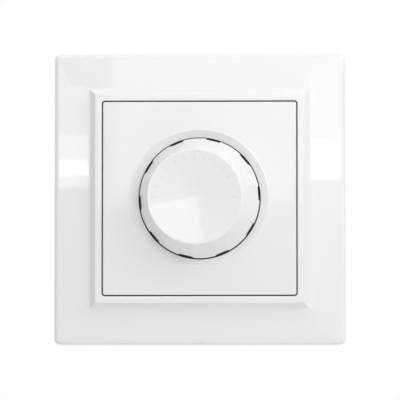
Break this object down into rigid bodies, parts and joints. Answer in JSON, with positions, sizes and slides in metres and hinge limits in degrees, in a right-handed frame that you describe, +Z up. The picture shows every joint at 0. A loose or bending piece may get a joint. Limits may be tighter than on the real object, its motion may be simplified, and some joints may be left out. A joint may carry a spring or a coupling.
{
  "type": "rotary dimmer switch",
  "caption": "Flush wall dimmer: square cover frame, centre plate with a sunk well, and a push-and-turn knob over a potentiometer, triac board and spreading claws.",
  "frame": {"origin": "on the wall, at the back face of the mounting plate, on the knob's axis", "axes": "+Z up, +X to the right seen from the front, the front faces -Y"},
  "size_m": [0.082, 0.0428, 0.082],
  "materials": {
    "white_cover": "gloss white thermoset moulding",
    "white_plate": "satin gloss white moulding",
    "white_knob": "satin gloss white moulding",
    "pip_white": "bright white pip",
    "grey_plastic": "light grey moulding",
    "black_plastic": "matt black moulding",
    "zinc_steel": "zinc plated steel",
    "spring_steel": "bright spring steel",
    "brass": "machined brass",
    "aluminium": "satin aluminium",
    "board": "green glass laminate",
    "phenolic": "brown laminate",
    "copper": "enamelled copper wire",
    "ferrite": "pressed iron powder",
    "film_yellow": "yellow film capacitor case",
    "resistor_body": "lacquered ceramic",
    "fuse_glass": "clear glass",
    "mica": "grey insulating pad"
  },
  "bodies": {
    "root": {"outer_frame": "white_cover", "centre_plate": "white_plate", "pot_bush": "brass", "plate_washer": "zinc_steel", "plate_nut": "brass", "pot_case": "zinc_steel", "pot_track": "phenolic", "pot_pins": "zinc_steel", "switch_case": "black_plastic", "switch_contacts": "brass", "switch_spring": "spring_steel", "mounting_plate": "zinc_steel", "claw_pins": "zinc_steel", "claw_screws": "zinc_steel", "housing_screws": "zinc_steel", "rear_housing": "grey_plastic", "circuit_board": "board", "terminal_block": "black_plastic", "terminal_cages": "brass", "terminal_screws": "zinc_steel", "choke_core": "ferrite", "choke_winding": "copper", "triac_pad": "mica", "triac": "black_plastic", "triac_nut": "zinc_steel", "triac_screw": "zinc_steel", "filter_capacitor": "film_yellow", "timing_capacitor": "film_yellow", "resistors": "resistor_body", "diac": "fuse_glass", "fuse_glass": "fuse_glass", "fuse_wire": "copper", "fuse_caps": "brass", "fuse_clips": "spring_steel"},
    "rotor": {"pot_rotor": "black_plastic", "pot_wiper": "spring_steel"},
    "spindle": {"shaft": "aluminium", "shaft_clip": "spring_steel", "knob": "white_knob", "knob_spring": "spring_steel", "pointer_pip": "pip_white"},
    "plunger": {"switch_plunger": "grey_plastic", "switch_bridge": "brass"},
    "claw_right": {"claw_right": "zinc_steel"},
    "claw_left": {"claw_left": "zinc_steel"},
    "claw_nut_right": {"claw_nut_right": "zinc_steel"},
    "claw_nut_left": {"claw_nut_left": "zinc_steel"}
  },
  "joints": [
    {"name": "dimmer_turn", "type": "hinge", "parent": "root", "child": "rotor", "pos_m": [0, 0, 0], "axis": [0, 1, 0], "range_deg": [-40, 229]},
    {"name": "knob_press", "type": "slide", "parent": "rotor", "child": "spindle", "axis": [0, 1, 0], "range_m": [0, 0.0015], "stiffness_N_per_m": 1000, "springref_m": -0.002},
    {"name": "plunger_press", "type": "slide", "parent": "root", "child": "plunger", "axis": [0, 1, 0], "range_m": [0, 0.0015], "deforming": ["switch_spring"]},
    {"name": "claw_right_swing", "type": "hinge", "parent": "root", "child": "claw_right", "pos_m": [0.023, 0.003, 0], "axis": [0, 0, -1], "range_deg": [0, 20]},
    {"name": "claw_left_swing", "type": "hinge", "parent": "root", "child": "claw_left", "pos_m": [-0.023, 0.003, 0], "axis": [0, 0, 1], "range_deg": [0, 20]},
    {"name": "claw_nut_right_slide", "type": "slide", "parent": "root", "child": "claw_nut_right", "axis": [0, -1, 0], "range_m": [0, 0.006]},
    {"name": "claw_nut_left_slide", "type": "slide", "parent": "root", "child": "claw_nut_left", "axis": [0, -1, 0], "range_m": [0, 0.006]}
  ],
  "couplings": [
    {"joint": "plunger_press", "follows": "knob_press", "ratio": 1},
    {"joint": "claw_right_swing", "follows": "claw_nut_right_slide", "rad_per_m": 58.177},
    {"joint": "claw_left_swing", "follows": "claw_nut_left_slide", "rad_per_m": 58.177}
  ]
}
